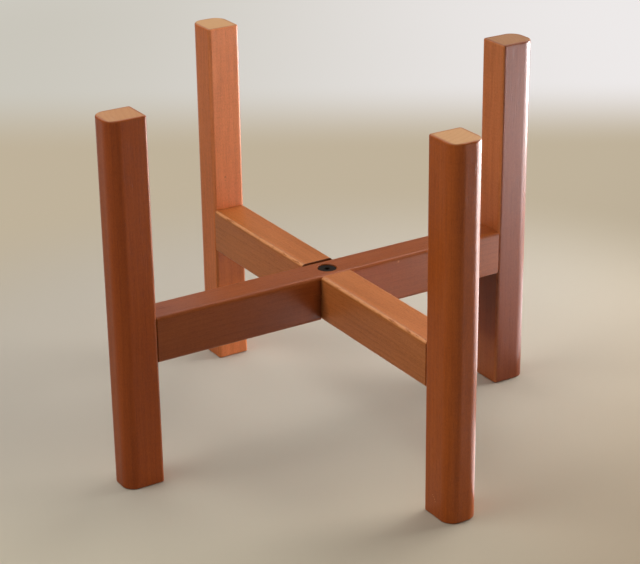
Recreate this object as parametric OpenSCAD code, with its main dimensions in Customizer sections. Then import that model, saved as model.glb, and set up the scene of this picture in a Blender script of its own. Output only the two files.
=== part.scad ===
// Low wooden plant stand: four round-edged posts at the ends of two crossed rails.
// The rails lock together in a cross-lap joint that one sunk bolt holds down,
// and blind dowels join them to the posts. The pot sits on the rails, between the posts.
//
// Millimetres, +Z up. The origin is on the floor, under the middle of the crossing.
// The upper rail runs along X and the lower rail runs along Y.

/* [Pot space] */
// Clear distance between two facing posts
inner_span = 317.5; // [240:0.5:420]
// Height of the upper rail's top above the floor
rail_top = 139; // [80:0.5:200]

/* [Stock] */
// Width of the wood that the posts and the rails are both cut from
stock_w = 28.5; // [24:0.5:36]

/* [Posts] */
// Height of a post
leg_h = 298.5; // [230:0.5:420]
// Depth of a post, from its flat inner face to its outer face
leg_d = 32; // [28:0.5:50]
// Radius of the two well rounded outer edges
outer_r = 10.5; // [4:0.25:11.5]
// Radius of the two softened inner edges
inner_r = 2.5; // [0.5:0.1:4]
// Radius of the easing round a post's two ends
leg_end_r = 1.2; // [0.4:0.1:3]

/* [Rails] */
// Height of a rail
rail_h = 37.5; // [32:0.5:60]
// Radius of a rail's four long edges
rail_edge_r = 3; // [0.5:0.1:5]

/* [Cross-lap joint] */
// Play on each side of a rail in the other rail's notch
lap_clear = 0.3; // [0.1:0.05:0.8]
// How far the lower rail's top stands proud of the upper rail's
lap_proud = 0.4; // [0:0.1:2]

/* [Dowels] */
// Diameter of a dowel
dowel_d = 8; // [6:0.5:10]
// Length of a dowel
dowel_l = 40; // [30:1:60]
// How deep a dowel sits in its post
dowel_in_leg = 17; // [10:0.5:22]
// Height between the two dowels of a joint
dowel_pitch = 18; // [12:0.5:20]
// Glue gap round a dowel, on the radius
dowel_clear = 0.05; // [0.02:0.01:0.2]
// Spare depth past the end of a dowel in its rail
dowel_spare = 1.5; // [0.5:0.1:4]
// Number of glue flutes along a dowel
flute_count = 16; // [6:1:24]
// Depth of a glue flute
flute_depth = 0.3; // [0.1:0.05:0.5]
// Chamfer on a dowel's ends
dowel_chamfer = 0.8; // [0.3:0.1:1.5]

/* [Centre bolt] */
// Diameter of the bolt's flat head
head_d = 15; // [12:0.5:18]
// Thickness of the head
head_t = 2; // [1.5:0.1:3]
// Chamfer on the head's top edge
head_chamfer = 0.5; // [0.2:0.1:1]
// Depth of the head's top below the rail's top
head_sunk = 0.8; // [0.2:0.1:3]
// Gap round the head in its counterbore, on the radius
head_clear = 0.25; // [0.1:0.05:1]
// Chamfer on the counterbore's rim
rim_chamfer = 0.4; // [0.1:0.1:1]
// Diameter of the plain collar under the head
collar_d = 8.5; // [8:0.5:11]
// Length of the collar
collar_l = 2.5; // [1:0.5:5]
// Gap round the collar in the rail, on the radius
collar_clear = 0.25; // [0.1:0.05:1]
// Diameter of the threaded shank
bolt_d = 6; // [5:1:7]
// How far the bolt's tip reaches below the lap's seat
bolt_reach = 9; // [7:0.5:12]
// Chamfer on the bolt's tip
tip_chamfer = 0.8; // [0.3:0.1:1.5]
// Width of the key socket across its flats
key_af = 4; // [3:0.5:5]
// Depth of the key socket
key_depth = 2.8; // [1.5:0.1:4]

/* [Insert nut] */
// Outer diameter of the insert
insert_d = 10; // [9:0.5:13]
// Length of the insert
insert_l = 12; // [9:0.5:13]
// Depth of the insert's top below the lap's seat
insert_sunk = 0.5; // [0.2:0.1:1]
// Gap between the bolt and the insert's bore, on the radius
thread_clear = 0.05; // [0.02:0.01:0.2]
// Width of the insert's drive recess across its flats
drive_af = 6.5; // [6.5:0.1:7.5]
// Depth of the drive recess
drive_depth = 3; // [1:0.5:5]
// Spare depth of the hole under the insert
insert_spare = 0.75; // [0.25:0.25:1.5]
// Chamfer on the insert's ends
insert_chamfer = 0.6; // [0.2:0.1:1]

/* [Hidden] */
$fn = 64;
eps = 0.5;                                            // how far a cut runs past the face it opens
post_at = inner_span / 2;                             // from the centre to a post's inner face
axis_x = leg_d - outer_r;                             // an outer edge's axis, from the inner face
axis_y = stock_w / 2 - outer_r;                       // and from the post's middle
lap_z = rail_top - rail_h / 2;                        // the seat where the two rails meet
upper_mid = lap_z;                                    // mid height of the upper rail
lower_mid = lap_z + lap_proud;                        // mid height of the lower rail
head_seat = rail_top - head_sunk - head_t;            // the face under the bolt's head
bolt_tip = lap_z - bolt_reach;
insert_top = lap_z - insert_sunk;
insert_low = insert_top - insert_l;
dowel_hole_d = dowel_d + 2 * dowel_clear;

SIDES = ["right", "back", "left", "front"];           // a quarter turn apart, starting at +X
ROWS = ["low", "top"];
LEGS = [for (side = SIDES) str("leg_", side)];
DOWELS = [for (side = SIDES, row = ROWS) str("dowel_", side, "_", row)];

function turn(i) = 90 * i;                            // where side number i stands
function rail_mid(i) = i % 2 == 0 ? upper_mid : lower_mid;
function row_z(i, j) = rail_mid(i) + (j - 0.5) * dowel_pitch;

// ---- outlines -------------------------------------------------------------------

// A rectangle about the origin with four round corners
module round_rect(size, r) {
    square([size.x - 2 * r, size.y], center = true);
    square([size.x, size.y - 2 * r], center = true);
    for (sx = [-1, 1], sy = [-1, 1])
        translate([sx * (size.x / 2 - r), sy * (size.y / 2 - r)]) circle(r);
}

// The post's section: inner face on x = 0, outer face on x = leg_d, and flat sides
module post_section() {
    intersection() {
        translate([leg_d, 0]) round_rect([2 * leg_d, stock_w], inner_r);
        round_rect([2 * leg_d, stock_w], outer_r);
    }
}

// ---- posts ----------------------------------------------------------------------

// What the eased ends leave of the post's sides
module eased_sides() {
    translate([-eps, 0, leg_h / 2]) rotate([90, 0, 90])
        linear_extrude(leg_d + 2 * eps) round_rect([stock_w, leg_h], leg_end_r);
}

// The post as seen from its side, with eased ends, from the inner face to x = reach and w thick
module side_slab(reach, w) {
    translate([0, w / 2, 0]) rotate([90, 0, 0]) linear_extrude(w) intersection() {
        translate([leg_d / 2, leg_h / 2]) round_rect([leg_d, leg_h], leg_end_r);
        square([reach, leg_h]);
    }
}

// A column that fills an outer edge, with its ends eased all the way round
module edge_column() {
    rotate_extrude() intersection() {
        translate([0, leg_h / 2]) round_rect([2 * outer_r, leg_h], leg_end_r);
        square([outer_r, leg_h]);
    }
}

// What the eased ends leave of the inner face, the outer face and the outer edges
module eased_faces() {
    side_slab(axis_x, 2 * stock_w);
    side_slab(leg_d, 2 * axis_y);
    for (side = [-1, 1]) translate([axis_x, side * axis_y, 0]) edge_column();
}

module dowel_hole(depth) {
    translate([0, 0, -eps]) cylinder(h = depth + eps, d = dowel_hole_d);
}

// The post on side number i, with its two dowel holes at its rail's height
module leg(i) {
    color([0.55, 0.28, 0.16]) rotate([0, 0, turn(i)]) translate([post_at, 0, 0]) difference() {
        intersection() {
            linear_extrude(leg_h) post_section();
            eased_sides();
            eased_faces();
        }
        for (j = [0, 1])
            translate([0, 0, row_z(i, j)]) rotate([0, 90, 0]) dowel_hole(dowel_in_leg);
    }
}

// ---- rails ----------------------------------------------------------------------

// A whole rail along X at mid height z, from post to post, drilled in both ends
module rail_blank(z) {
    difference() {
        translate([-post_at, 0, z]) rotate([90, 0, 90])
            linear_extrude(inner_span) round_rect([stock_w, rail_h], rail_edge_r);
        for (end = [0, 2], j = [0, 1])
            rotate([0, 0, turn(end)]) translate([post_at, 0, z + (j - 0.5) * dowel_pitch])
                rotate([0, -90, 0]) dowel_hole(dowel_l - dowel_in_leg + dowel_spare);
    }
}

// The other rail's width with its play, cut away from height z1 to height z2
module lap_notch(z1, z2) {
    notch_w = stock_w + 2 * lap_clear;
    translate([-notch_w / 2, -stock_w, z1]) cube([notch_w, 2 * stock_w, z2 - z1]);
}

// Notched from below, and bored for the bolt's collar and its sunk head
module upper_rail() {
    bore_d = head_d + 2 * head_clear;
    color([0.57, 0.3, 0.18]) difference() {
        rail_blank(upper_mid);
        lap_notch(rail_top - rail_h - eps, lap_z);
        translate([0, 0, lap_z - eps]) cylinder(h = rail_h, d = collar_d + 2 * collar_clear);
        translate([0, 0, head_seat]) cylinder(h = rail_h, d = bore_d);
        translate([0, 0, rail_top - rim_chamfer])
            cylinder(h = eps + rim_chamfer, d1 = bore_d, d2 = bore_d + 2 * (eps + rim_chamfer));
    }
}

// Notched from above, and bored from the lap's seat for the insert nut
module lower_rail() {
    hole_low = insert_low - insert_spare;
    color([0.6, 0.33, 0.2]) difference() {
        rotate([0, 0, turn(1)]) rail_blank(lower_mid);
        rotate([0, 0, turn(1)]) lap_notch(lap_z, lower_mid + rail_h);
        translate([0, 0, hole_low]) cylinder(h = rail_h, d = insert_d);
    }
}

// ---- dowels and fastener ---------------------------------------------------------

// A fluted dowel along +Z with chamfered ends
module fluted_dowel() {
    flute_r = 2 * flute_depth;
    intersection() {
        linear_extrude(dowel_l) difference() {
            circle(d = dowel_d);
            for (k = [1 : flute_count])
                rotate((k - 0.5) * 360 / flute_count)
                    translate([dowel_d / 2 + flute_r - flute_depth, 0]) circle(flute_r);
        }
        rotate_extrude() polygon([
            [0, 0],
            [dowel_d / 2 - dowel_chamfer, 0],
            [dowel_d / 2, dowel_chamfer],
            [dowel_d / 2, dowel_l - dowel_chamfer],
            [dowel_d / 2 - dowel_chamfer, dowel_l],
            [0, dowel_l]
        ]);
    }
}

// Dowel j of side number i, driven home in its post and reaching back into the rail
module dowel(i, j) {
    color([0.82, 0.68, 0.47]) rotate([0, 0, turn(i)])
        translate([post_at + dowel_in_leg, 0, row_z(i, j)]) rotate([0, -90, 0]) fluted_dowel();
}

// A six-sided recess with its mouth at the origin, going down
module key_recess(af, depth) {
    translate([0, 0, -depth]) cylinder(h = depth + eps, d = af / cos(30), $fn = 6);
}

// Flat-headed connector bolt: chamfered head, collar and shank in one turned piece
module centre_bolt() {
    head_top = head_seat + head_t;
    color([0.1, 0.1, 0.1]) difference() {
        rotate_extrude() polygon([
            [0, bolt_tip],
            [bolt_d / 2 - tip_chamfer, bolt_tip],
            [bolt_d / 2, bolt_tip + tip_chamfer],
            [bolt_d / 2, head_seat - collar_l],
            [collar_d / 2, head_seat - collar_l],
            [collar_d / 2, head_seat],
            [head_d / 2, head_seat],
            [head_d / 2, head_top - head_chamfer],
            [head_d / 2 - head_chamfer, head_top],
            [0, head_top]
        ]);
        translate([0, 0, head_top]) key_recess(key_af, key_depth);
    }
}

// Sleeve with a bore for the bolt and a six-sided drive recess in its top
module insert_nut() {
    insert_r = insert_d / 2;
    bore_r = bolt_d / 2 + thread_clear;
    color([0.75, 0.72, 0.66]) difference() {
        rotate_extrude() polygon([
            [bore_r, insert_low],
            [insert_r - insert_chamfer, insert_low],
            [insert_r, insert_low + insert_chamfer],
            [insert_r, insert_top - insert_chamfer],
            [insert_r - insert_chamfer, insert_top],
            [bore_r, insert_top]
        ]);
        translate([0, 0, insert_top]) key_recess(drive_af, drive_depth);
    }
}

for (i = [0 : 3]) leg(i);
upper_rail();
lower_rail();
for (i = [0 : 3], j = [0, 1]) dowel(i, j);
centre_bolt();
insert_nut();
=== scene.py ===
# Low wooden plant stand: four posts, two cross-lapped rails and a sunk centre bolt.
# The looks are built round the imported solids, in metres, +Z up, in the same frame.
import math

import bmesh
import bpy
import numpy as np
from mathutils import Matrix, Vector


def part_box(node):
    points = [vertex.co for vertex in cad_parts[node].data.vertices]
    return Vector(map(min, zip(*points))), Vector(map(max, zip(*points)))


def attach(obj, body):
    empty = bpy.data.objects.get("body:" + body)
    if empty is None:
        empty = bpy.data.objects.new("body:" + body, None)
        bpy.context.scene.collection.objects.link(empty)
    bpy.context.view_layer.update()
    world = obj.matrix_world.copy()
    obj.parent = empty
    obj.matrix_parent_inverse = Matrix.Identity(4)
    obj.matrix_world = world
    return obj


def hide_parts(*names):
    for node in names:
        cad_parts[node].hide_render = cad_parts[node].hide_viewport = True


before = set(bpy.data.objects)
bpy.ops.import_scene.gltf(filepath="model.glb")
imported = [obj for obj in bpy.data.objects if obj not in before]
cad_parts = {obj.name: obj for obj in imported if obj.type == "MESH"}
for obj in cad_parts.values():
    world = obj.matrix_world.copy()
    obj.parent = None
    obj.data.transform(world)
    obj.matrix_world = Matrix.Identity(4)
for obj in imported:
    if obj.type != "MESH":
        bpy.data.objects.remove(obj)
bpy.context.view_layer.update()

mm = 0.001
print("frame loaded:", len(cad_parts), "solids")

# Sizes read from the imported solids, in millimetres
postLow, postHigh = np.array(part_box("leg_right")) / mm
railLow, railHigh = np.array(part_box("upper_rail")) / mm
lowerLow, lowerHigh = np.array(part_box("lower_rail")) / mm
boltLow, boltHigh = np.array(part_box("centre_bolt")) / mm
nutLow = np.array(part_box("insert_nut"))[0] / mm
stand = {
    "reach": postLow[0],                        # centre to a post's inner face
    "postDepth": postHigh[0] - postLow[0],
    "width": railHigh[1] - railLow[1],          # of the posts and the rails
    "postHeight": postHigh[2],
    "railHeight": railHigh[2] - railLow[2],
    "upperMiddle": (railLow[2] + railHigh[2]) / 2,
    "lowerMiddle": (lowerLow[2] + lowerHigh[2]) / 2,
}

# Meshes from numpy patches

meshing = {"weldStep": 0.001, "sharpAngle": 28}    # millimetres within which points are one point; degrees
slack = 0.01                                    # millimetres by which a place is told from its neighbours


def line(start, end, count):
    # count points from start to end, with the normal on the right-hand side of the way
    start, end = np.array(start, float), np.array(end, float)
    step = (end - start) / np.linalg.norm(end - start)
    share = np.linspace(0, 1, count)[:, None]
    points = start * (1 - share) + end * share
    return points, np.repeat([[step[1], -step[0]]], count, axis=0)


def easedLine(start, end, count, near):
    # a line whose second and last-but-one points stand close to its ends, so that shading stays flat
    start, end = np.array(start, float), np.array(end, float)
    length = np.linalg.norm(end - start)
    inner = np.linspace(near / length, 1 - near / length, count - 2)
    share = np.concatenate([[0], inner, [1]])[:, None]
    points, normals = line(start, end, count)
    return start * (1 - share) + end * share, normals


def arc(centre, radius, first, last, count):
    # centre plus radius times (cos a, sin a), for a from first to last degrees
    angle = np.radians(np.linspace(first, last, count))
    normals = np.stack([np.cos(angle), np.sin(angle)], axis=1)
    return np.array(centre) + radius * normals, normals


def outline(stretches):
    # joins stretches end to end into one closed loop; marks are the columns where each begins
    marks = np.cumsum([0] + [len(points) - 1 for points, _ in stretches])
    points = np.concatenate([points[:-1] for points, _ in stretches] + [stretches[0][0][:1]])
    normals = np.concatenate([normals[:-1] for _, normals in stretches] + [stretches[0][1][:1]])
    return points, normals, marks


def blendRows(first, last, rows):
    # rows of points from first to last, by straight mixing
    share = np.linspace(0, 1, rows).reshape((-1,) + (1,) * first.ndim)
    return first[None] * (1 - share) + last[None] * share


def circleFacing(loop, centre, radius):
    # the circle's points that lie in the directions of the loop's own points
    away = loop - np.array(centre)
    away = away / np.linalg.norm(away, axis=1, keepdims=True)
    return np.array(centre) + radius * away


def rectangleLoop(us, vs):
    # round a rectangle through all the samples us along two sides and vs along the other two
    sides = [
        np.stack([us, np.full(len(us), vs[0])], axis=1),
        np.stack([np.full(len(vs), us[-1]), vs], axis=1)[1:],
        np.stack([us[::-1], np.full(len(us), vs[-1])], axis=1)[1:],
        np.stack([np.full(len(vs), us[0]), vs[::-1]], axis=1)[1:],
    ]
    return np.concatenate(sides)


def meshFromPatches(name, patches, place, attributes=None):
    # welds grids of points (rows, columns, 3) in millimetres into one closed shell, then places it
    # a patch is a grid, or a grid with a mask of the quads that stay
    corners, quads, start = [], [], 0
    for patch in patches:
        grid, keep = patch if isinstance(patch, tuple) else (patch, None)
        rows, columns = grid.shape[:2]
        number = np.arange(rows * columns).reshape(rows, columns) + start
        cells = np.stack([number[:-1, :-1], number[:-1, 1:], number[1:, 1:], number[1:, :-1]], axis=-1)
        quads.append(cells.reshape(-1, 4) if keep is None else cells[keep])
        corners.append(grid.reshape(-1, 3))
        start += rows * columns
    corners, quads = np.concatenate(corners), np.concatenate(quads)
    _, first, index = np.unique(np.round(corners / meshing["weldStep"]).astype(np.int64), axis=0,
                                return_index=True, return_inverse=True)
    corners, quads = corners[first], index.reshape(-1)[quads]
    differs = quads != np.roll(quads, -1, axis=1)
    sides = differs.sum(axis=1)
    fours, threes = quads[sides == 4], quads[sides == 3][differs[sides == 3]].reshape(-1, 3)
    used, loops = np.unique(np.concatenate([fours.ravel(), threes.ravel()]), return_inverse=True)
    corners, loops = corners[used], loops.reshape(-1)
    sizes = np.concatenate([np.full(len(fours), 4), np.full(len(threes), 3)])

    mesh = bpy.data.meshes.new(name)
    mesh.vertices.add(len(corners))
    mesh.loops.add(len(loops))
    mesh.polygons.add(len(sizes))
    mesh.vertices.foreach_set("co", (place(corners) * mm).astype(np.float32).ravel())
    mesh.loops.foreach_set("vertex_index", loops.astype(np.int32))
    mesh.polygons.foreach_set("loop_start", (np.cumsum(sizes) - sizes).astype(np.int32))
    mesh.update(calc_edges=True)
    for key, values in (attributes or {}).items():
        layer = mesh.attributes.new(key, "FLOAT", "POINT")
        layer.data.foreach_set("value", values(corners).astype(np.float32))
    shell = bmesh.new()
    shell.from_mesh(mesh)
    bmesh.ops.recalc_face_normals(shell, faces=shell.faces)
    shell.to_mesh(mesh)
    shell.free()
    mesh.shade_smooth()
    mesh.set_sharp_from_angle(angle=math.radians(meshing["sharpAngle"]))
    piece = bpy.data.objects.new(name, mesh)
    bpy.context.scene.collection.objects.link(piece)
    return piece


def quarterTurns(turns):
    # turns points about +Z by so many quarter turns, exactly
    cos, sin = [(1, 0), (0, 1), (-1, 0), (0, -1)][turns % 4]
    return lambda points: points @ np.array([[cos, sin, 0], [-sin, cos, 0], [0, 0, 1]], float)


# Shader nodes


class Wire:
    # one output socket; sums and products of wires become Math nodes

    def __init__(self, finish, socket):
        self.finish, self.socket = finish, socket

    def maths(self, operation, *values):
        return self.finish.add("ShaderNodeMath", {"operation": operation}, values)

    def __add__(self, other):
        return self.maths("ADD", self, other)

    def __sub__(self, other):
        return self.maths("SUBTRACT", self, other)

    def __rsub__(self, other):
        return self.maths("SUBTRACT", other, self)

    def __mul__(self, other):
        return self.maths("MULTIPLY", self, other)

    def __truediv__(self, other):
        return self.maths("DIVIDE", self, other)

    def __rtruediv__(self, other):
        return self.maths("DIVIDE", other, self)

    def __pow__(self, other):
        return self.maths("POWER", self, other)

    def __rpow__(self, other):
        return self.maths("POWER", other, self)

    __radd__, __rmul__ = __add__, __mul__

    def smooth(self, low, high):
        # 0 at low, 1 at high, with soft ends
        return self.finish.add("ShaderNodeMapRange", {"interpolation_type": "SMOOTHSTEP"},
                               {"Value": self, "From Min": low, "From Max": high})


class Finish:
    # a material whose nodes are added one call at a time

    def __init__(self, name, tree=None):
        if tree is None:
            self.material = bpy.data.materials.new(name)
            self.material.use_nodes = True
            tree = self.material.node_tree
        self.tree = tree
        tree.nodes.clear()

    def add(self, kind, settings=None, sockets=(), output=0):
        # settings first, then the sockets by name or number, with values or wires
        node = self.tree.nodes.new(kind)
        for key, value in (settings or {}).items():
            if key == "stops":
                ramp = node.color_ramp.elements
                while len(ramp) < len(value):
                    ramp.new(1.0)
                for stop, (place, colour) in zip(ramp, value):
                    stop.position, stop.color = place, tuple(colour) + (1.0,)
            else:
                setattr(node, key, value)
        for key, value in sockets.items() if isinstance(sockets, dict) else enumerate(sockets):
            if isinstance(value, Wire):
                self.tree.links.new(value.socket, node.inputs[key])
            else:
                node.inputs[key].default_value = value
        return Wire(self, node.outputs[output]) if len(node.outputs) else None

    def mix(self, factor, first, second, way="MIX"):
        colours = [value if isinstance(value, Wire) else tuple(value) + (1.0,) for value in (first, second)]
        return self.add("ShaderNodeMix", {"data_type": "RGBA", "blend_type": way},
                        {0: factor, 6: colours[0], 7: colours[1]}, 2)

    def ramp(self, factor, *stops):
        return self.add("ShaderNodeValToRGB", {"stops": stops}, {"Fac": factor})

    def noise(self, vector, stretch, detail=2.0, roughness=0.5):
        # noise whose cells are 1 / stretch metres long on each axis
        scaled = self.add("ShaderNodeVectorMath", {"operation": "MULTIPLY"}, (vector, stretch))
        return self.add("ShaderNodeTexNoise", {},
                        {"Vector": scaled, "Scale": 1.0, "Detail": detail, "Roughness": roughness})

    def attribute(self, name):
        return self.add("ShaderNodeAttribute", {"attribute_name": name}, {}, "Fac")

    def place(self):
        return self.add("ShaderNodeTexCoord", {}, {}, "Object")

    def along(self, vector, axis):
        return self.add("ShaderNodeSeparateXYZ", {}, {"Vector": vector}, axis)

    def bump(self, strength, distance, height):
        return self.add("ShaderNodeBump", {},
                        {"Strength": strength, "Distance": distance, "Height": height}, "Normal")

    def surface(self, sockets):
        shader = self.add("ShaderNodeBsdfPrincipled", {}, sockets)
        self.add("ShaderNodeOutputMaterial", {}, {"Surface": shader})
        return self.material


woodLook = {
    "dark": (0.215, 0.047, 0.0065),             # where stain gathered in the grain
    "middle": (0.375, 0.100, 0.0185),
    "light": (0.500, 0.155, 0.0360),
    "worn": (0.930, 0.410, 0.1550),             # edges that the sanding left paler, and a painted highlight along a rail's upper edge
    "wearAndHighlight": 0.12,                               # how much of the edges shows it, as wear and painted highlight
    "endPale": (0.780, 0.440, 0.205),
    "endRing": (0.690, 0.345, 0.145),
    "endRim": (0.560, 0.190, 0.060),
    "endTint": (1.0, 1.0, 1.0),
    "tint": (1.0, 1.0, 1.0),
    "innerTintAndPaintedLight": (1.0, 1.0, 1.0),               # how the face towards the pot differs over the rail: partly its tone, partly painted light
    "innerShade": 0.35,                         # and how much painted shadow darkens it under the rail
    "ringWidth": 0.0042,                        # metres between growth rings
    "ringWarp": 0.016,                          # metres by which slow noise bends them
    "lateRise": (0.25, 0.88),                   # a ring darkens slowly over this part of its width
    "lateFall": (1.0, 0.90),                    # and breaks off over this one
    "lateMean": 0.35,
    "toneStops": (0.22, 0.50, 0.80),            # where the tone is dark, middle and light
    "ringShare": 0.04,                          # what each figure adds to the tone
    "streakShare": 0.15,
    "fineShare": 0.20,
    "fleckShare": 0.34,
    "blotchShare": 0.26,
    "rippleShare": 0.08,
    "poreRange": (0.60, 0.72),                  # of the noise, from no pore to a full one
    "wearRange": (0.30, 0.52),
    "endRange": (0.05, 0.45),                   # of the attribute, from the long face to the cut end's rim
    "endRimRange": (0.35, 0.95),                # and from the rim to the cut end itself
    "endRingShare": 0.3,
    "endNoiseShare": 0.9,
    "endNoiseMean": 0.4,
    "cornerShade": 0.0,                         # how much painted shade darkens the sides where the rails cross
    "seam": (0.0, 0.0),                         # from and to, along Y: painted shadow in and beside the open joint across the top
    "seamSoft": 0.0002,
    "seamShadowAmount": 0.80,
    "seamShadow": (0.045, 0.012, 0.004),
    "marks": (),                                # place, radius, amount and which of the colours above
    "markCore": 0.35,                           # of a mark's radius, within which it is full
    "poreDepth": 0.30,
    "reliefFine": 0.5,                          # what each figure adds to the relief or takes from it
    "reliefStreak": 0.8,
    "reliefPore": 0.6,
    "reliefRing": 0.15,
    "bumpStrength": 0.55,
    "bumpDistance": 0.00009,
    "roughness": 0.36,
    "roughBlotch": 0.12,                        # what adds to the roughness
    "roughPore": 0.12,
    "roughEnd": 0.16,
    "ior": 1.38,                                # how strongly the lacquer mirrors
    "polish": 0.05,                             # how much smoother the well rounded edges are
}

woodNoise = {                                   # cells per metre across and along, detail, roughness
    "slow": ((22.0, 22.0, 3.2), 2.0, 0.5),
    "streak": ((170.0, 170.0, 4.5), 3.0, 0.55),
    "fine": ((850.0, 850.0, 26.0), 2.0, 0.6),
    "blotch": ((30.0, 30.0, 11.0), 3.0, 0.6),
    "ripple": ((70.0, 70.0, 620.0), 2.0, 0.5),
    "fleck": ((1250.0, 1250.0, 520.0), 2.0, 0.65),
    "pore": ((1500.0, 1500.0, 95.0), 1.0, 0.5),
    "worn": ((620.0, 620.0, 110.0), 3.0, 0.65),
    "end": ((700.0, 700.0, 20.0), 3.0, 0.6),
}


def woodFinish(name, turn, pith, seed, **changes):
    # stained hardwood: growth rings are shells about a far pith, warped by slow noise, so that long
    # faces show streaks and cut ends show arcs; turn brings the grain to Z, seed moves the figure
    # and pith is the middle of the rings, in metres from the seed
    look = {**woodLook, **changes}
    finish = Finish(name)
    spot = finish.place()
    wood = finish.add("ShaderNodeMapping", {}, {"Vector": spot, "Rotation": turn, "Location": seed})
    slow, streak, fine, blotch, ripple, fleck, poreNoise, wornNoise, endNoise = (
        finish.noise(wood, *woodNoise[key]) for key in
        ("slow", "streak", "fine", "blotch", "ripple", "fleck", "pore", "worn", "end"))
    offset = finish.add("ShaderNodeVectorMath", {"operation": "SUBTRACT"}, (wood, np.add(pith, seed)))
    x, y = finish.along(offset, "X"), finish.along(offset, "Y")
    turns = ((x * x + y * y) ** 0.5 + slow * look["ringWarp"]) / look["ringWidth"]
    ring = turns.maths("FRACT", turns)
    late = ring.smooth(*look["lateRise"]) * ring.smooth(*look["lateFall"])
    pore = poreNoise.smooth(*look["poreRange"])
    tone = (0.5 + (streak - 0.5) * look["streakShare"] + (fine - 0.5) * look["fineShare"]
            + (fleck - 0.5) * look["fleckShare"] + (blotch - 0.5) * look["blotchShare"]
            + (ripple - 0.5) * look["rippleShare"]
            - (late - look["lateMean"]) * look["ringShare"])
    long = finish.ramp(tone, *zip(look["toneStops"], (look["dark"], look["middle"], look["light"])))
    long = finish.mix(pore * look["poreDepth"], long, look["dark"])
    long = finish.mix(1.0, long, look["tint"], "MULTIPLY")
    # painted light over the rail and painted shadow under it, on a post's face towards the pot
    inner = finish.attribute("inner")
    long = finish.mix(inner, long, finish.mix(1.0, long, look["innerTintAndPaintedLight"], "MULTIPLY"))
    under = inner * -1
    shade = under.maths("MAXIMUM", under, 0.0) * look["innerShade"]
    # painted shade on the rails' sides beside the crossing, where each rail shadows the other
    shade = shade + finish.attribute("corner") * look["cornerShade"]
    long = finish.add("ShaderNodeVectorMath", {"operation": "SCALE"}, {0: long, "Scale": 1 - shade})
    # paler edges: wear, and on the rails a painted highlight along one upper edge
    wearAndHighlight = finish.attribute("edge") * wornNoise.smooth(*look["wearRange"])
    long = finish.mix(wearAndHighlight * look["wearAndHighlight"], long, look["worn"])
    endTone = late * look["endRingShare"] + (endNoise - look["endNoiseMean"]) * look["endNoiseShare"]
    cut = finish.mix(endTone, look["endPale"], look["endRing"])
    end = finish.attribute("endGrain")
    cut = finish.mix(end.smooth(*look["endRimRange"]), look["endRim"], cut)
    cut = finish.mix(1.0, cut, look["endTint"], "MULTIPLY")
    colour = finish.mix(end.smooth(*look["endRange"]), long, cut)
    # painted shadow along the open joint at the lap's shoulder
    start, stop = look["seam"]
    if stop > start:
        along, soft = finish.along(spot, "Y"), look["seamSoft"]
        jointShadow = along.smooth(start - soft, start) * along.smooth(stop + soft, stop)
        colour = finish.mix(jointShadow * look["seamShadowAmount"], colour, look["seamShadow"])
    for place, radius, amount, paint in look["marks"]:
        away = finish.add("ShaderNodeVectorMath", {"operation": "DISTANCE"}, (spot, place), "Value")
        spread = away.smooth(radius, radius * look["markCore"])
        colour = finish.mix(spread * amount, colour, look[paint])
    rough = (look["roughness"] + (blotch - 0.5) * look["roughBlotch"] + pore * look["roughPore"]
             + end * look["roughEnd"] - finish.attribute("rounded") * look["polish"])
    relief = ((fine - 0.5) * look["reliefFine"] - pore * look["reliefPore"]
              + (streak - 0.5) * look["reliefStreak"] - late * look["reliefRing"])
    return finish.surface({"Base Color": colour, "Roughness": rough, "IOR": look["ior"],
                           "Normal": finish.bump(look["bumpStrength"], look["bumpDistance"], relief)})


beechLook = {
    "pale": (0.680, 0.480, 0.270),
    "fleck": (0.470, 0.280, 0.130),
    "fleckAlong": 180.0,                        # cells per metre along the grain
    "fleckAcross": 1400.0,
    "fleckNoise": (2.0, 0.6),                   # detail, roughness
    "fleckRange": (0.55, 0.70),                 # of the noise, from no fleck to a full one
    "fleckShare": 0.7,
    "groundNoise": ((60.0, 60.0, 60.0), 3.0, 0.6),
    "groundShare": 0.4,
    "roughness": 0.6,
    "roughGround": 0.2,
    "bumpStrength": 0.4,
    "bumpDistance": 0.00006,
}


def beechFinish(name, axis, look=beechLook):
    # bare beech: short dark flecks along the grain, which runs on that axis, on an even pale ground
    finish = Finish(name)
    spot = finish.place()
    stretch = [look["fleckAlong"] if other == axis else look["fleckAcross"] for other in range(3)]
    fleck = finish.noise(spot, stretch, *look["fleckNoise"]).smooth(*look["fleckRange"])
    ground = finish.noise(spot, *look["groundNoise"])
    share = fleck * look["fleckShare"] + (ground - 0.5) * look["groundShare"]
    return finish.surface({"Base Color": finish.mix(share, look["pale"], look["fleck"]),
                           "Roughness": look["roughness"] + ground * look["roughGround"],
                           "Normal": finish.bump(look["bumpStrength"], look["bumpDistance"], fleck)})


steelLook = {
    # colour, rubbed colour, metallic and roughness of the two platings
    "black": ((0.0120, 0.0062, 0.0030), (0.0280, 0.0170, 0.0095), 0.35, 0.55),
    "zinc": ((0.380, 0.380, 0.390), (0.600, 0.590, 0.560), 1.0, 0.38),
    "ior": 1.18,                                # low, so that the black head stays near black
    "cloudNoise": ((420.0, 420.0, 420.0), 4.0, 0.6),
    "gritNoise": ((5200.0, 5200.0, 5200.0), 2.0, 0.5),
    "rubbedRange": (0.45, 0.75),                # of the cloud noise, from bare plating to all rubbed
    "roughCloud": 0.3,
    "bumpStrength": 0.35,
    "bumpDistance": 0.00003,
}


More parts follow.
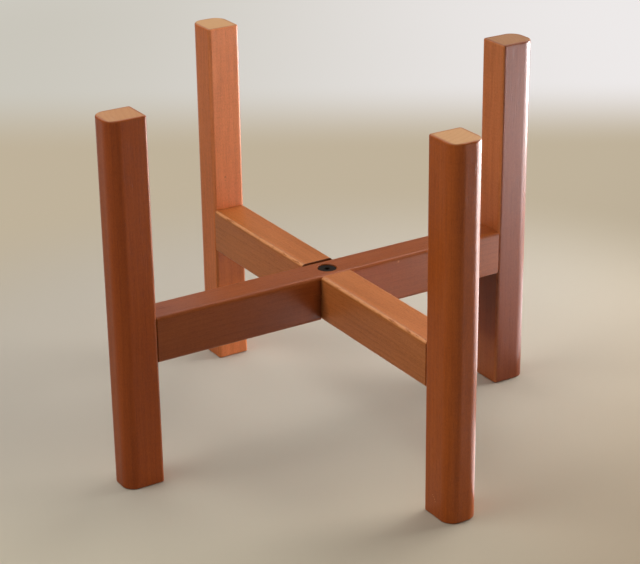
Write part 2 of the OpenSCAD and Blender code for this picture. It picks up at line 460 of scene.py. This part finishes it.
def steelFinish(name, plating, look=steelLook):
    # plated steel: cloudy patches where it is rubbed, and a fine grit
    finish = Finish(name)
    spot = finish.place()
    base, rubbed, metallic, roughness = look[plating]
    cloud, grit = finish.noise(spot, *look["cloudNoise"]), finish.noise(spot, *look["gritNoise"])
    colour = finish.mix(cloud.smooth(*look["rubbedRange"]), base, rubbed)
    return finish.surface({"Base Color": colour, "Metallic": metallic, "IOR": look["ior"],
                           "Roughness": roughness + (cloud - 0.5) * look["roughCloud"],
                           "Normal": finish.bump(look["bumpStrength"], look["bumpDistance"], grit)})


# Posts

postShape = {
    "outerRadius": 10.5,                        # the two well rounded outer edges
    "innerRadius": 2.5,
    "endRadius": 1.2,                           # easing round the two ends
    "rowStep": 4.0,                             # along the post
    "holeRadius": 4.05,                         # for the dowels
    "holeDepth": 17.0,
    "holePitch": 18.0,
    "nearEdge": 0.5,                            # first row of a flat beside its rounding
    "sidePoints": 8,                            # points on each stretch of the section
    "outerPoints": 20,
    "outerFlatPoints": 6,
    "innerPoints": 9,
    "innerFlatPoints": 14,
    "endRows": 8,
    "holeRows": 5,                              # on the panel round a dowel hole
    "capRings": (0, 0.3, 0.6, 0.8, 0.9, 0.96),  # rings on the cut ends, as shares of the section
    "rimTone": 0.45,                            # of the end grain at the rim, rising to 1 over rimWidth
    "rimWidth": 2.2,
    "endReach": 0.8,                            # of the end grain down the easing, as a share of it
    "edgeReach": 1.4,                           # and of the worn edge
    "edgeSlope": 8,                             # how sharply the worn edge starts
    "roundedSlope": 12,                         # and the well rounded edge
    "facingHeights": (0, 35, 55, 75, 100, 140, 200),
    "facingTones": (0.6, 0.3, -0.3, -0.9, -1, 0.75, 1),     # 1 is innerTintAndPaintedLight, -1 is innerShade, the painted shadow
}


def postPatches(middle, shape=postShape):
    # the section, inset by e(1 - cos a) and e(1 - sin a) over its rounded ends, carried up the post;
    # x runs outwards from the inner face, which is left open for two panels that hold the dowel holes
    width, depth, height = stand["width"] / 2, stand["postDepth"], stand["postHeight"]
    outer, inner, near = shape["outerRadius"], shape["innerRadius"], shape["nearEdge"]
    side, outerArc, innerArc = shape["sidePoints"], shape["outerPoints"], shape["innerPoints"]
    section, normals, marks = outline([
        easedLine((inner, -width), (depth - outer, -width), side, near),
        arc((depth - outer, outer - width), outer, -90, 0, outerArc),
        easedLine((depth, outer - width), (depth, width - outer), shape["outerFlatPoints"], near),
        arc((depth - outer, width - outer), outer, 0, 90, outerArc),
        easedLine((depth - outer, width), (inner, width), side, near),
        arc((inner, width - inner), inner, 90, 180, innerArc),
        easedLine((0, width - inner), (0, inner - width), shape["innerFlatPoints"], near),
        arc((inner, inner - width), inner, 180, 270, innerArc),
    ])
    bend = np.radians(np.linspace(0, 90, shape["endRows"]))
    inset, rise = shape["endRadius"] * (1 - np.sin(bend)), shape["endRadius"] * (1 - np.cos(bend))
    ends = np.array(shape["capRings"])
    stops = [rise[-1], rise[-1] + near, middle - shape["holePitch"], middle, middle + shape["holePitch"],
             height - rise[-1] - near, height - rise[-1]]
    levels = np.unique(np.concatenate(
        [np.linspace(a, b, max(2, int((b - a) / shape["rowStep"]) + 2)) for a, b in zip(stops, stops[1:])]))
    cap = np.ones(len(ends))
    lift = np.concatenate([cap * 0, rise[:-1], levels, height - rise[-2::-1], cap * height])
    draw = np.concatenate([cap * inset[0], inset[:-1], levels * 0, inset[-2::-1], cap * inset[0]])
    scale = np.concatenate([ends, np.ones(len(lift) - 2 * len(ends)), ends[::-1]])
    centre = np.array([depth / 2, 0])
    flat = section[None] - draw[:, None, None] * normals[None]
    flat = centre + (flat - centre) * scale[:, None, None]
    skin = np.concatenate([flat, np.repeat(lift[:, None, None], len(section), axis=1)], axis=2)

    low, high = middle - shape["holePitch"], middle + shape["holePitch"]
    between = (lift[:-1] > low - slack) & (lift[1:] < high + slack)
    keep = np.ones((len(lift) - 1, len(section) - 1), bool)
    keep[np.ix_(between, np.arange(marks[6], marks[7]))] = False
    patches = [(skin, keep)]
    across, rows = np.sort(section[marks[6]:marks[7] + 1, 1]), shape["holeRows"]
    for bottom, way in ((low, -1), (middle, 1)):
        up = levels[(levels > bottom - slack) & (levels < bottom + shape["holePitch"] + slack)]
        loop = rectangleLoop(across, up)
        hole = np.array([0, middle + way * shape["holePitch"] / 2])
        ring = circleFacing(loop, hole, shape["holeRadius"])
        tube = np.stack([ring, ring, np.repeat(hole[None], len(ring), axis=0)])
        run = [0, shape["holeDepth"], shape["holeDepth"]]
        for grid, reach in ((blendRows(loop, ring, rows), [0] * rows), (tube, run)):
            x = np.repeat(np.array(reach, float)[:, None, None], grid.shape[1], axis=1)
            patches.append(np.concatenate([x, grid], axis=2))
    return patches


def postAttributes(shape=postShape):
    # what the wood finish reads at each point of a post, from 0 to 1 unless it says otherwise
    width, depth, height = stand["width"] / 2, stand["postDepth"], stand["postHeight"]
    outer, inner, ease = shape["outerRadius"], shape["innerRadius"], shape["endRadius"]
    rim = shape["rimTone"]

    def endGrain(points):
        # rises from 0 at the foot of the easing to 1 a little way in from the rim of the cut end
        away = np.minimum(points[:, 2], height - points[:, 2])
        side = np.minimum(width - np.abs(points[:, 1]), np.minimum(points[:, 0], depth - points[:, 0]))
        inward = np.clip(rim + (1 - rim) * (side - ease) / shape["rimWidth"], 0, 1)
        return np.clip(1 - away / (ease * shape["endReach"]), 0, 1) * inward

    def edge(points):
        # 1 on the two inner edges and round both ends, 0 on the faces
        across = np.clip(1 - (width - np.abs(points[:, 1])) / inner, 0, 1)
        inward = np.clip(1 - points[:, 0] / inner, 0, 1)
        away = np.minimum(points[:, 2], height - points[:, 2])
        ends = np.clip(1 - away / (ease * shape["edgeReach"]), 0, 1)
        return np.maximum(np.clip(across * inward * shape["edgeSlope"], 0, 1), ends)

    def paintedLightAndShade(points):
        # the face towards the pot: up to 1 over the rail, where painted light lifts it, and lifted a little
        # at the foot, down to -1 a little under it, where painted shadow darkens it
        return np.interp(points[:, 2], shape["facingHeights"], shape["facingTones"]) * (points[:, 0] < ease)

    def rounded(points):
        # 1 all over the two well rounded outer edges, 0 on the flats
        outward = (points[:, 0] - depth + outer) / outer
        aside = (np.abs(points[:, 1]) - width + outer) / outer
        return np.clip(np.minimum(outward, aside) * shape["roundedSlope"], 0, 1)

    return {"endGrain": endGrain, "edge": edge, "inner": paintedLightAndShade, "rounded": rounded}


postBoards = {                                  # quarter turns, middle of the rail, pith, seed, looks
    "right": (0, "upperMiddle", (0.062, 0.041, 0.0), (0.31, 0.07, 0.52),
              {"tint": (0.66, 0.50, 0.60), "endTint": (0.555, 0.436, 0.349),
               "innerTintAndPaintedLight": (2.46, 3.81, 5.03), "ior": 1.345}),
    "back": (1, "lowerMiddle", (-0.071, 0.055, 0.0), (1.17, 0.43, 0.11),
             {"tint": (1.82, 1.76, 2.10), "endTint": (0.887, 0.856, 0.795),
              "innerTintAndPaintedLight": (1.26, 1.52, 2.40),
              "marks": (((-0.0030, 0.15875, 0.1678), 0.0013, 0.45, "dark"),
                        ((-0.0030, 0.15875, 0.1646), 0.0010, 0.25, "dark"),
                        ((0.0102, 0.15875, 0.1680), 0.0009, 0.35, "worn"))}),
    "left": (2, "upperMiddle", (0.055, -0.080, 0.0), (0.64, 1.29, 0.83),
             {"tint": (1.14, 0.80, 0.35), "endTint": (0.782, 0.627, 0.511)}),
    "front": (3, "lowerMiddle", (-0.049, -0.066, 0.0), (1.93, 0.88, 0.37),
              {"tint": (1.27, 0.98, 0.45), "endTint": (0.914, 0.829, 0.712),
               "marks": (((-0.01425, -0.1701, 0.0177), 0.0006, 0.55, "worn"),
                         ((-0.01425, -0.1715, 0.0166), 0.0007, 0.55, "worn"),
                         ((-0.01425, -0.1727, 0.0151), 0.0007, 0.60, "worn"),
                         ((-0.01425, -0.1735, 0.0134), 0.0007, 0.50, "worn"),
                         ((-0.01425, -0.1613, 0.2132), 0.0009, 0.30, "worn"))}),
}
for side, (turns, middleName, pith, seed, looks) in postBoards.items():
    post = meshFromPatches("post_" + side, postPatches(stand[middleName]),
                           lambda points, turns=turns: quarterTurns(turns)(points + [stand["reach"], 0, 0]),
                           postAttributes())
    post.data.materials.append(woodFinish("stainedPost_" + side, (0, 0, 0), pith, seed, **looks))
    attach(post, "root")
    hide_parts("leg_" + side)
print("posts made")

# Rails

railShape = {
    "edgeRadius": 3.0,
    "notchPlay": 0.3,                           # on each side of the other rail
    "rowStep": 4.0,
    "holeRadius": 4.05,
    "holeDepth": 24.5,
    "holePitch": 18.0,
    "nearEdge": 0.5,
    "edgePoints": 9,                            # points on each stretch of the section
    "sidePoints": 7,
    "flatPoints": 12,
    "lapPoints": 17,                            # along the rail inside the lap
    "lapRows": 7,                               # on the panels round a hole over or under the lap
    "shoulderRows": 9,
    "holeRows": 5,                              # round a dowel hole
    "wedge": (15, 2),                           # reach of the painted shade beside the crossing at the bottom and the top
    "otherEdges": 0.25,                         # wear and painted highlight of the three edges that get less of it
    "edgeFrom": 0.30,                           # of the way round an edge, where its wear starts
    "edgeSlope": 8,
    "endWidth": 2,                              # over which end grain shows, in from the rim
    "endFrom": 0.1,
    "endMost": 0.8,
}
counterbore = {"rimRadius": 8.15, "radius": 7.75, "rimDepth": 0.4, "seatDepth": 2.8, "collarRadius": 4.5}
nutHole = {"radius": 5.0, "spare": 0.75}        # spare is the depth under the insert


def railPatches(floor, bore, through, shape=railShape):
    # a rounded section carried from end to end along x, notched from below as far up as z = floor;
    # bore lists radius and height of the turned hole over the notch, and through says that it opens the top
    half, tall, reach = stand["width"] / 2, stand["railHeight"] / 2, stand["reach"]
    rounding, near = shape["edgeRadius"], shape["nearEdge"]
    side, edge = shape["sidePoints"], shape["edgePoints"]
    notch = half + shape["notchPlay"]
    lowHalf = [
        line((-half, floor), (-half, rounding - tall), side),
        arc((rounding - half, rounding - tall), rounding, 180, 270, edge),
        easedLine((rounding - half, -tall), (half - rounding, -tall), shape["flatPoints"], near),
        arc((half - rounding, rounding - tall), rounding, 270, 360, edge),
        line((half, rounding - tall), (half, floor), side),
    ]
    lowCount = sum(len(points) - 1 for points, _ in lowHalf) + 1
    section, _, marks = outline(lowHalf + [
        line((half, floor), (half, tall - rounding), side),
        arc((half - rounding, tall - rounding), rounding, 0, 90, edge),
        easedLine((half - rounding, tall), (rounding - half, tall), lowCount, near),
        arc((rounding - half, tall - rounding), rounding, 90, 180, edge),
        line((-half, tall - rounding), (-half, floor), side),
    ])
    arm = np.linspace(notch, reach, int((reach - notch) / shape["rowStep"]) + 1)
    inside = np.linspace(-notch, notch, shape["lapPoints"])
    along = np.unique(np.concatenate([-arm, inside, arm]))
    skin = np.concatenate([np.repeat(along[:, None, None], len(section), axis=1),
                           np.repeat(section[None], len(along), axis=0)], axis=2)
    keep = np.ones((len(along) - 1, len(section) - 1), bool)
    mid = np.abs(along[:-1] + along[1:]) / 2 < notch
    keep[np.ix_(mid, np.arange(marks[0], marks[5]))] = False
    if through:
        keep[np.ix_(mid, np.arange(marks[7], marks[8]))] = False
    patches = [(skin, keep)]

    low, high = section[:lowCount], section[lowCount - 1:]
    run = np.concatenate([[0], np.cumsum(np.linalg.norm(np.diff(low, axis=0), axis=1))])
    across = half * (2 * run / run[-1] - 1)
    seam = np.stack([across, np.full(lowCount, floor)], axis=1)

    def standing(grid, x):                      # a grid in the section's plane, at x
        return np.concatenate([np.full(grid.shape[:2] + (1,), float(x)), grid], axis=2)

    def lying(grid, z):                         # a grid seen from above, at height z
        return np.concatenate([grid, np.full(grid.shape[:2] + (1,), float(z))], axis=2)

    for x in (-notch, notch):                   # the shoulders of the lap
        patches.append(standing(blendRows(low, seam, shape["shoulderRows"]), x))
    topLoop = rectangleLoop(inside, np.sort(section[marks[7]:marks[8] + 1, 0]))
    floorLoop = rectangleLoop(inside, across)
    rings = np.stack([circleFacing(topLoop, (0, 0), 1.0) * radius for radius, _ in bore])
    heights = np.array([z for _, z in bore], float)
    depths = np.repeat(heights[:, None, None], rings.shape[1], axis=1)
    patches.append(np.concatenate([rings, depths], axis=2))
    patches.append(lying(blendRows(floorLoop, rings[-1 if through else 0], shape["lapRows"]), floor))
    if through:
        patches.append(lying(blendRows(topLoop, rings[0], shape["lapRows"]), tall))
    for x in (-reach, reach):                   # the two ends, each with two dowel holes
        lowRim, highRim = np.concatenate([low, seam[::-1][1:]]), np.concatenate([high, seam[1:]])
        for rim, way in ((lowRim, -1), (highRim, 1)):
            centre = np.array([0, way * shape["holePitch"] / 2])
            ring = circleFacing(rim, centre, shape["holeRadius"])
            patches.append(standing(blendRows(rim, ring, shape["holeRows"]), x))
            bottom = math.copysign(reach - shape["holeDepth"], x)
            tube = np.stack([ring, ring, np.repeat(centre[None], len(ring), axis=0)])
            reachX = np.repeat(np.array([x, bottom, bottom])[:, None, None], len(ring), axis=1)
            patches.append(np.concatenate([reachX, tube], axis=2))
    return patches


def railAttributes(top, shape=railShape):
    # top is 1 for the rail that is notched from below and -1 for the other, which is laid upside down;
    # every value is from 0 to 1
    half, tall, reach = stand["width"] / 2, stand["railHeight"] / 2, stand["reach"]
    notch, rounding = half + shape["notchPlay"], shape["edgeRadius"]

    def endGrain(points):                       # the ends and the lap's shoulders, cut across the grain
        ends = np.abs(points[:, 0]) > reach - slack
        shoulders = (np.abs(np.abs(points[:, 0]) - notch) < slack) & (points[:, 2] < 0)
        inward = np.minimum(half - np.abs(points[:, 1]), tall - np.abs(points[:, 2]))
        tone = np.clip(inward / shape["endWidth"] - shape["endFrom"], 0, shape["endMost"])
        return np.where(ends | shoulders, tone, 0)

    def edge(points):                           # wear and a painted highlight, most along the upper edge on one side
        across = np.clip(1 - (half - np.abs(points[:, 1])) / rounding, 0, 1)
        upward = np.clip(1 - (tall - np.abs(points[:, 2])) / rounding, 0, 1)
        most = np.where((points[:, 1] > 0) & (points[:, 2] * top > 0), 1, shape["otherEdges"])
        return np.clip((across * upward - shape["edgeFrom"]) * shape["edgeSlope"], 0, 1) * most

    def corner(points):                         # painted shade: a wedge beside the crossing, wide at the bottom
        reachOut = np.interp(points[:, 2] * top, [-tall, tall], shape["wedge"])
        beside = np.clip(1 - (np.abs(points[:, 0]) - notch) / reachOut, 0, 1)
        return beside * (np.abs(points[:, 1]) > half - slack) * (np.abs(points[:, 0]) > notch - slack)

    return {"endGrain": endGrain, "edge": edge, "corner": corner}


railTop = stand["railHeight"] / 2
lapSeat = stand["upperMiddle"]                  # height of the seat where the rails meet
seatGap = stand["lowerMiddle"] - lapSeat
nutBottom = nutLow[2] - nutHole["spare"]
upperBore = [
    (counterbore["rimRadius"], railTop),
    (counterbore["radius"], railTop - counterbore["rimDepth"]),
    (counterbore["radius"], railTop - counterbore["seatDepth"]),
    (counterbore["collarRadius"], railTop - counterbore["seatDepth"]),
    (counterbore["collarRadius"], 0.0),
]
lowerBore = [(nutHole["radius"], seatGap), (nutHole["radius"], stand["lowerMiddle"] - nutBottom),
             (0.0, stand["lowerMiddle"] - nutBottom)]

upperRail = meshFromPatches("upper_rail_wood", railPatches(0.0, upperBore, True),
                            lambda points: points + [0, 0, stand["upperMiddle"]], railAttributes(1))
lowerRail = meshFromPatches(
    "lower_rail_wood", railPatches(seatGap, lowerBore, False),
    lambda points: quarterTurns(1)(points * [1, 1, -1]) + [0, 0, stand["lowerMiddle"]], railAttributes(-1))
railBoards = {                                  # turn of the grain in degrees, pith, seed, looks
    "upper": ((0, -90, 0), (0.07, 0.08, 0.0), (0.51, 0.88, 0.3),
              {"tint": (0.93, 0.81, 0.76), "cornerShade": 0.6,
               "marks": (((0.0588, -0.01425, 0.1357), 0.0013, 0.30, "worn"),)}),
    "lower": ((90, 0, 0), (0.07, 0.08, 0.0), (1.36, 0.21, 0.9),
              {"tint": (1.43, 1.63, 2.06), "wearAndHighlight": 1.0, "cornerShade": 0.55, "seam": (0.0143, 0.0151)}),
}
for rail, node in ((upperRail, "upper_rail"), (lowerRail, "lower_rail")):
    board = node.removesuffix("_rail")
    turn, pith, seed, looks = railBoards[board]
    rail.data.materials.append(woodFinish("stainedRail_" + board, np.radians(turn), pith, seed, **looks))
    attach(rail, "root")
    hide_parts(node)
print("rails made")

# Centre bolt, insert and dowels

boltShape = {
    "headRadius": 7.5,
    "headRounding": 0.5,
    "headRows": 6,
    "headThickness": 2.0,
    "collarRadius": 4.25,
    "collarLength": 2.5,
    "shankRadius": 3.0,
    "threadDepth": 0.55,
    "threadPitch": 1.0,
    "tipChamfer": 0.8,
    "keyWidth": 4.0,                            # across the flats of the six-sided socket
    "keyDepth": 2.8,
    "keySides": 0.94,                           # its depth at the sides, as a share of that in the middle
    "keyFoot": 0.98,                            # its width down there, as a share of that at the top
    "mouthRadius": 2.45,                        # of the chamfer round the socket
    "mouthFoot": 0.96,                          # its radius at its foot, as a share of that
    "mouthFrom": 0.35,                          # the depths between which it opens
    "mouthTo": 0.12,
    "mouthFlat": 0.4,                           # ring of the flat top round it
    "underEase": 0.2,
    "collarEase": 0.3,
    "threadFade": 1.2,                          # over which the thread starts and ends
    "columns": 96,
    "threadRows": 12,                           # for each turn of the thread
}


def boltPatches(shape=boltShape):
    # a turned surface: its radius at each row is a circle or a hexagon, and the shank's radius falls by
    # the thread's depth with cos of the turn minus height over pitch
    turn = np.linspace(0, 2 * np.pi, shape["columns"] + 1)
    hexagon = shape["keyWidth"] / 2 / np.cos((turn + np.pi / 6) % (np.pi / 3) - np.pi / 6)
    circle = np.ones_like(turn)
    top, tip = boltHigh[2], boltLow[2]
    seat = top - shape["headThickness"]
    collar, collarLow = shape["collarRadius"], seat - shape["collarLength"]
    bend = np.radians(np.linspace(0, 90, shape["headRows"]))
    rim, head = shape["headRounding"], shape["headRadius"]
    key, mouth = shape["keyDepth"], shape["mouthRadius"]
    under, ease = shape["underEase"], shape["collarEase"]
    rows = [(circle * 0, top - key), (hexagon * shape["keyFoot"], top - key * shape["keySides"]),
            (hexagon, top - shape["mouthFrom"]),
            (np.maximum(hexagon, mouth * shape["mouthFoot"]), top - shape["mouthTo"]),
            (circle * mouth, top), (circle * (mouth + shape["mouthFlat"]), top)]
    rows += [(circle * (head - rim + rim * np.sin(a)), top - rim + rim * np.cos(a)) for a in bend]
    rows += [(circle * head, seat + under), (circle * (head - under), seat), (circle * collar, seat),
             (circle * collar, collarLow + ease), (circle * (collar - ease), collarLow)]
    radii, heights = np.array([r for r, _ in rows]), np.array([z for _, z in rows])
    threadCount = int((collarLow - tip) / shape["threadPitch"] * shape["threadRows"])
    z = np.linspace(collarLow, tip, threadCount)[:, None]
    groove = 0.5 - 0.5 * np.cos(turn[None] + 2 * np.pi * z / shape["threadPitch"])
    fade = np.clip(np.minimum(collarLow - z, z - tip) / shape["threadFade"], 0, 1)
    shank = shape["shankRadius"] - shape["threadDepth"] * groove * fade
    shank = np.minimum(shank, shape["shankRadius"] - np.clip(shape["tipChamfer"] - (z - tip), 0, None))
    radii = np.concatenate([radii, shank, circle[None] * 0])
    heights = np.repeat(np.concatenate([heights, z[:, 0], [tip]])[:, None], len(turn), axis=1)
    return [np.stack([radii * np.cos(turn), radii * np.sin(turn), heights], axis=2)]


bolt = meshFromPatches("sunk_bolt", boltPatches(), lambda points: points)
bolt.data.materials.append(steelFinish("blackSteel", "black"))
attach(bolt, "root")
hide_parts("centre_bolt")

zinc = steelFinish("zincSteel", "zinc")
beechAlongX, beechAlongY = beechFinish("bareBeech_x", 0), beechFinish("bareBeech_y", 1)
for name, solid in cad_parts.items():
    if name == "insert_nut":
        material = zinc
    elif name.startswith("dowel_"):
        material = beechAlongX if ("_right_" in name or "_left_" in name) else beechAlongY
    else:
        continue
    for slot in solid.material_slots:
        slot.material = material
print("bolt, insert and dowels finished")

# Floor, light and camera

stage = {
    "rings": (0, 0.3, 0.8, 1.6, 3.0, 6.0),      # radii in metres
    "spokes": 72,
    "drop": -0.0002,
    "away": (0.52, 0.854),                      # the way the photo looks, seen from above
    "near": (0.480, 0.430, 0.360),              # what light falls on, under the stand
    "far": (0.760, 0.735, 0.700),               # and further off, blending over these metres
    "blendFrom": 0.62,
    "blendTo": 1.05,
    "seenNear": (0.560, 0.505, 0.420),          # the same paint as the camera alone sees it
    # painted light: the floor paler towards the front, out of the stand's shade
    "seenFront": (0.740, 0.655, 0.490),
    # darker to the right, towards the front
    "seenRight": (0.410, 0.325, 0.230),
    "frontFrom": 0.05,                          # metres along the way the photo looks
    "frontTo": -0.38,
    "rightFrom": -0.05,                         # metres to its right, less half of those along it
    "rightTo": 0.45,
    "openFrom": 0.32,                           # beyond this it sees an even tone, without lamps' edges
    "openTo": 0.58,
    "openLeft": (0.525, 0.445, 0.325),
    "openRight": (0.460, 0.380, 0.280),
    # painted light: the far backdrop lighter to the right
    "farLeft": (0.590, 0.565, 0.500),
    "farRight": (0.850, 0.820, 0.815),
    "farFrom": 0.68,
    "farTo": 0.94,
    "farHalfWidth": 0.45,
    "haze": (0.820, 0.810, 0.790),              # from all round
    "hazeFrom": 1.25,
    "hazeTo": 2.4,
    "roughness": 0.55,
    "world": (0.97, 0.98, 1.0),
    "worldStrength": 0.04,
}


def stageFloor(values=stage):
    # a flat disc: radius times (cos a, sin a) on rings from the middle out
    turn = np.linspace(0, 2 * np.pi, values["spokes"] + 1)
    ring = np.array(values["rings"])[:, None] / mm
    level = 0 * ring * turn + values["drop"] / mm
    grid = np.stack([ring * np.cos(turn), ring * np.sin(turn), level], axis=2)
    floor = meshFromPatches("floor", [grid], lambda points: points)
    if floor.data.polygons[0].normal.z < 0:
        floor.data.flip_normals()
    finish = Finish("palePaint")
    spot = finish.place()
    far = finish.add("ShaderNodeVectorMath", {"operation": "LENGTH"}, (spot,), "Value")
    x, y = finish.along(spot, "X"), finish.along(spot, "Y")
    (awayX, awayY), half = values["away"], values["farHalfWidth"]
    depth, side = x * awayX + y * awayY, x * awayY - y * awayX
    colour = finish.mix(far.smooth(values["blendFrom"], values["blendTo"]), values["near"], values["far"])
    right = (side - depth * 0.5).smooth(values["rightFrom"], values["rightTo"])
    tone = finish.mix(right, values["openLeft"], values["openRight"])
    # painted light: the far backdrop lighter to the right
    tone = finish.mix(depth.smooth(values["farFrom"], values["farTo"]), tone,
                      finish.mix(side.smooth(-half, half), values["farLeft"], values["farRight"]))
    tone = finish.mix(far.smooth(values["hazeFrom"], values["hazeTo"]), tone, values["haze"])
    camera = finish.add("ShaderNodeLightPath", {}, {}, "Is Camera Ray")
    opened = far.smooth(values["openFrom"], values["openTo"])
    # painted light: paler towards the front; darker to the right
    front = depth.smooth(values["frontFrom"], values["frontTo"])
    lit = finish.mix(right, finish.mix(front, values["seenNear"], values["seenFront"]), values["seenRight"])
    black = (0, 0, 0)
    floor.data.materials.append(finish.surface({
        "Base Color": finish.mix(camera, colour, finish.mix(opened, lit, black)),
        "Emission Color": finish.mix(opened * camera, black, tone), "Emission Strength": 1.0,
        "Roughness": values["roughness"], "Specular IOR Level": 0.0}))


stageFloor()

world = bpy.data.worlds.new("roomLight")
bpy.context.scene.world = world
world.use_nodes = True
sky = Finish("sky", world.node_tree)
light = sky.add("ShaderNodeLightPath", {}, {}, "Is Camera Ray")
strength = stage["worldStrength"] + light * (1 - stage["worldStrength"])
background = sky.add("ShaderNodeBackground", {}, {"Color": stage["world"] + (1.0,), "Strength": strength})
sky.add("ShaderNodeOutputWorld", {}, {"Surface": background})

lamps = {                                       # place, what it faces, width, height, brightness, colour
    "window": ((0.85, -0.16, 0.30), (0, -0.16, 0.30), 0.55, 0.65, 8.2, (1.0, 1.0, 1.0)),
    "softRight": ((1.2, 0.6, 1.3), (0, 0, 0.15), 1.0, 1.0, 3.3, (1.0, 1.0, 1.0)),
    "softLeft": ((-0.9, 0.2, 1.5), (0, 0, 0.15), 0.9, 0.9, 4.34, (1.0, 1.0, 1.0)),
    "softBack": ((0.1, 1.5, 1.6), (0, 0, 0.1), 1.6, 1.2, 1.59, (1.0, 1.0, 1.0)),
    "softFront": ((-0.8, -1.1, 1.0), (0, 0, 0.15), 0.8, 0.8, 1.3, (1.0, 0.98, 0.95)),
    "softFar": ((-0.2, 2.6, 1.6), (-0.2, 1.6, 0.0), 2.6, 1.0, 0.3, (1.0, 0.98, 0.95)),
    "cardMiddle": ((1.0, -0.05, 0.07), (0, -0.05, 0.07), 0.17, 0.12, 230.0, (1.0, 0.98, 1.0)),
    "cardRight": ((0.985, -0.224, 0.07), (0, -0.05, 0.07), 0.17, 0.12, 50.0, (1.0, 0.97, 1.0)),
    "cardSide": ((0.927, -0.425, 0.07), (0, -0.05, 0.07), 0.28, 0.12, 12.0, (1.0, 0.97, 1.0)),
    "cardNear": ((0.120, -0.195, 0.003), None, 0.14, 0.11, 3.0, (1.0, 0.97, 1.0)),
    "cardInner": ((0.327, -0.022, 0.003), None, 0.14, 0.21, 3.9, (1.0, 0.97, 1.0)),
    "cardMid": ((0.384, -0.183, 0.003), None, 0.18, 0.33, 2.6, (1.0, 0.97, 1.0)),
    "cardFar": ((0.565, -0.305, 0.003), None, 0.24, 0.21, 15.5, (1.0, 0.97, 1.0)),
    "cardLow": ((0.751, -0.527, 0.003), None, 0.34, 0.21, 22.0, (1.0, 0.97, 1.0)),
}
cardTurn = -50.0                                # degrees about +Z of the cards that lie on the floor
for name, (place, aim, wide, tall, brightness, colour) in lamps.items():
    lamp = bpy.data.lights.new(name, "AREA")
    lamp.shape, lamp.size, lamp.size_y = "RECTANGLE", wide, tall
    lamp.energy, lamp.color = brightness * math.pi * wide * tall, colour
    holder = bpy.data.objects.new(name, lamp)
    holder.location = place
    if aim is None:                             # lies on the floor and faces up
        holder.rotation_euler = (math.pi, 0, math.radians(cardTurn))
    else:
        holder.rotation_euler = (Vector(place) - Vector(aim)).to_track_quat("Z", "Y").to_euler()
    holder.visible_camera = False
    holder.visible_diffuse = not name.startswith("card")    # the cards are only mirrored, as sheen
    bpy.context.scene.collection.objects.link(holder)

viewpoint = {
    "azimuth": -31.375,
    "elevation": 23.078,
    "roll": -0.736,
    "distance": 1.49969,
    "target": (-0.033504, -0.043985, 0.150),
    "lens": 110.057,
    "sensor": 36.0,
}


def stageCamera(values=viewpoint):
    turn, lift, roll = (math.radians(values[key]) for key in ("azimuth", "elevation", "roll"))
    back = Vector((math.sin(turn) * math.cos(lift), -math.cos(turn) * math.cos(lift), math.sin(lift)))
    right = (-back).cross(Vector((0, 0, 1))).normalized()
    up = right.cross(-back)
    sideways = math.cos(roll) * right + math.sin(roll) * up
    upright = math.cos(roll) * up - math.sin(roll) * right
    camera = bpy.data.objects.new("camera", bpy.data.cameras.new("camera"))
    camera.data.lens, camera.data.sensor_width = values["lens"], values["sensor"]
    camera.data.sensor_fit = "HORIZONTAL"
    pose = Matrix((sideways, upright, back)).transposed().to_4x4()
    pose.translation = Vector(values["target"]) + back * values["distance"]
    camera.matrix_world = pose
    bpy.context.scene.collection.objects.link(camera)
    bpy.context.scene.camera = camera


stageCamera()
bpy.context.scene.view_settings.view_transform = "Standard"
print("floor, lamps and camera placed")
